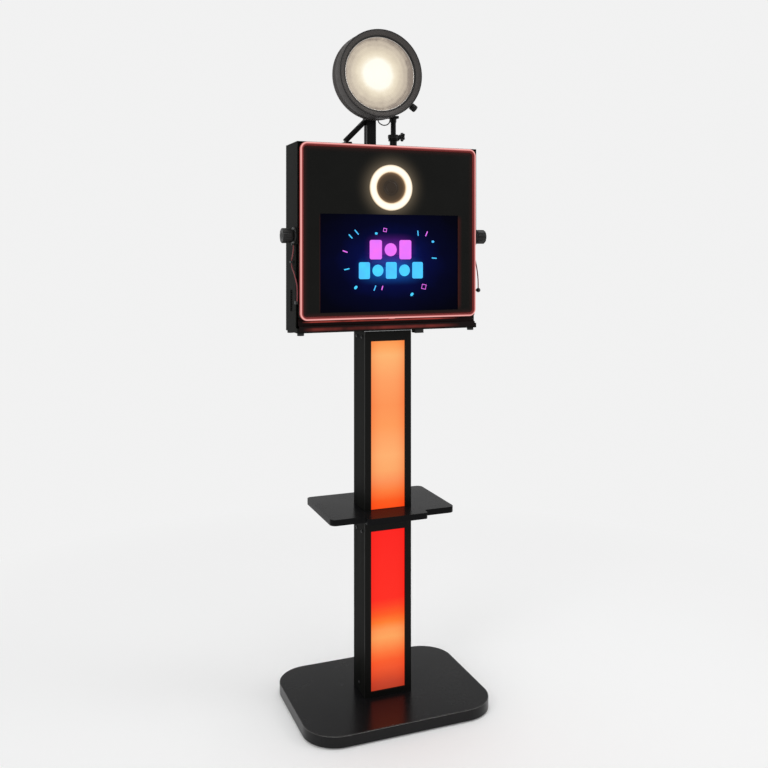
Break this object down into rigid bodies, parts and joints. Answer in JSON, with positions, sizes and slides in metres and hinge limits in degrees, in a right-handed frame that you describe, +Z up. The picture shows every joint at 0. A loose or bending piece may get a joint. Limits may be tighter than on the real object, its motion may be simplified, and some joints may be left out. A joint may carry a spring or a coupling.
{
  "type": "photo booth",
  "caption": "Slim free-standing photo booth: lit column with shelf on a base plate, tilting touch-screen head with ring light and camera, round lamp on a telescopic mast.",
  "frame": {"origin": "on the floor, under the centre of the column and of the base plate", "axes": "+Z up, -Y towards the sitter (front of the screen), +X to the right seen from the front"},
  "size_m": [0.6576, 0.442, 2.058],
  "materials": {
    "board_black": "gloss",
    "case_black": "matte",
    "panel_black": "satin",
    "ballast_steel": "satin",
    "zinc_steel": "satin",
    "rubber_black": "matte",
    "diffuser_acrylic": "satin",
    "rim_silicone": "satin",
    "ring_acrylic": "satin",
    "anodised_black": "satin",
    "aluminium": "satin",
    "board_white": "satin",
    "black_plastic": "matte",
    "glass": "gloss",
    "screen": "gloss",
    "chrome": "gloss",
    "lamp_glass": "frosted",
    "lamp_brown": "satin",
    "lead_pvc": "satin",
    "brass": "satin"
  },
  "bodies": {
    "stand": {"base_plate": "board_black", "base_ballast": "ballast_steel", "base_pads": "rubber_black", "column_shell": "case_black", "column_front": "panel_black", "column_brackets": "zinc_steel", "column_screws": "zinc_steel", "lower_diffuser": "diffuser_acrylic", "upper_diffuser": "diffuser_acrylic", "led_carrier": "aluminium", "led_strips": "board_white", "led_driver": "black_plastic", "shelf_board": "board_black", "shelf_cleats": "zinc_steel", "mount_plate": "case_black", "head_case": "case_black", "head_feet": "rubber_black", "gland_block": "black_plastic", "knob_bases": "black_plastic", "left_lead": "lead_pvc", "right_lead": "lead_pvc", "lead_plug": "black_plastic", "lead_clips": "black_plastic", "door_hinge": "zinc_steel", "power_inlet": "black_plastic", "fan_frame": "black_plastic", "mini_computer": "aluminium", "power_supply": "aluminium", "mast_outer": "anodised_black", "rod_outer": "case_black", "rod_clamp": "black_plastic", "mast_brackets": "case_black", "stay_tube": "case_black"},
    "front_unit": {"front_panel": "panel_black", "rim_light": "rim_silicone", "touch_glass": "glass", "screen_module": "screen", "ring_diffuser": "ring_acrylic", "ring_board": "board_white", "camera_window": "glass", "camera": "black_plastic", "unit_chassis": "case_black"},
    "carriage": {"mast_inner": "anodised_black", "rod_inner": "anodised_black", "cross_arm": "case_black", "tilt_pin": "zinc_steel", "lamp_lead": "lead_pvc"},
    "lamp": {"lamp_housing": "lamp_brown", "lamp_bezel": "chrome", "lamp_lens": "lamp_glass", "lamp_bulb": "lamp_glass", "lamp_lug": "case_black"},
    "focus_knob": {"lamp_knob": "black_plastic"},
    "left_clamp": {"left_knob": "black_plastic"},
    "right_clamp": {"right_knob": "black_plastic"},
    "wing": {"wing_knob": "black_plastic"},
    "door": {"rear_door": "case_black"},
    "lock": {"door_lock": "chrome"},
    "switch": {"power_switch": "black_plastic"},
    "rotor": {"fan_rotor": "black_plastic"}
  },
  "joints": [
    {"name": "head_tilt", "type": "hinge", "parent": "stand", "child": "front_unit", "pos_m": [0, -0.039, 1.419], "axis": [1, 0, 0], "range_deg": [0, 10]},
    {"name": "lamp_height", "type": "slide", "parent": "stand", "child": "carriage", "axis": [0, 0, 1], "range_m": [0, 0.15]},
    {"name": "lamp_tilt", "type": "hinge", "parent": "carriage", "child": "lamp", "pos_m": [0, 0.108, 1.8213], "axis": [1, 0, 0], "range_deg": [-20, 14]},
    {"name": "focus_turn", "type": "hinge", "parent": "lamp", "child": "focus_knob", "pos_m": [0.12041, 0.06, 1.83768], "axis": [0.8192, 0, -0.5736], "continuous": true},
    {"name": "left_clamp_turn", "type": "hinge", "parent": "stand", "child": "left_clamp", "pos_m": [-0.295, -0.039, 1.419], "axis": [-1, 0, 0], "continuous": true},
    {"name": "right_clamp_turn", "type": "hinge", "parent": "stand", "child": "right_clamp", "pos_m": [0.295, -0.039, 1.419], "axis": [1, 0, 0], "continuous": true},
    {"name": "wing_turn", "type": "hinge", "parent": "stand", "child": "wing", "pos_m": [0.1, 0.108, 1.743], "axis": [1, 0, 0], "continuous": true},
    {"name": "door_swing", "type": "hinge", "parent": "stand", "child": "door", "pos_m": [-0.206, 0.0745, 1.305], "axis": [0, 0, 1], "range_deg": [0, 110]},
    {"name": "lock_turn", "type": "hinge", "parent": "door", "child": "lock", "pos_m": [0.176, 0.07, 1.305], "axis": [0, -1, 0], "range_deg": [0, 90]},
    {"name": "switch_rock", "type": "hinge", "parent": "stand", "child": "switch", "pos_m": [0.25, 0.071, 1.171], "axis": [1, 0, 0], "range_deg": [0, 14]},
    {"name": "fan_spin", "type": "hinge", "parent": "stand", "child": "rotor", "pos_m": [-0.15, 0.0545, 1.6], "axis": [0, 1, 0], "continuous": true}
  ]
}
